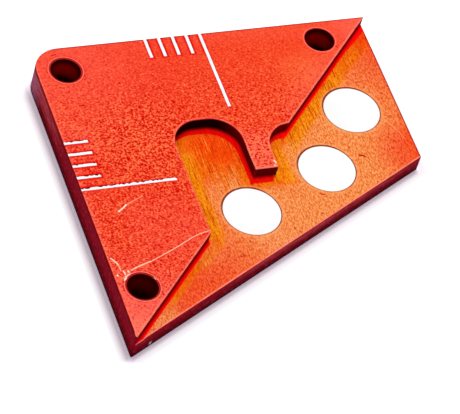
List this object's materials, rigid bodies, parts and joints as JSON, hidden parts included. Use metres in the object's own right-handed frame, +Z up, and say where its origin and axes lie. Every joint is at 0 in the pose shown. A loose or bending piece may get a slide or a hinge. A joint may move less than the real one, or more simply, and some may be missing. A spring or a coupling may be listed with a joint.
{
  "type": "router bit setup jig",
  "caption": "Flat plate with a 45 degree stepped cutter profile, a lowered ledge with flush disc magnets, plain holes and engraved centre lines, for setting a mitre-locking router bit.",
  "frame": {"origin": "on the base plane under the middle of the 45 degree step line, where the two long engraved lines would cross; it is also the middle of the base's bounding box", "axes": "+Z up out of the raised face, +X along the far edge from the rounded corner to the upper tip, +Y from the lower tip to the rounded corner along the left edge"},
  "size_m": [0.0782, 0.078, 0.0067],
  "materials": {
    "red_anodised_plate": "red anodised, fine blasted grain on the raised face, milled sheen on the ledge",
    "plated_magnet": "bright nickel plate, slightly brushed",
    "white_line_fill": "matt white filling of the engraved lines"
  },
  "bodies": {
    "root": {"jig_plate": "red_anodised_plate", "upper_magnet": "plated_magnet", "middle_magnet": "plated_magnet", "lower_magnet": "plated_magnet"}
  },
  "joints": []
}
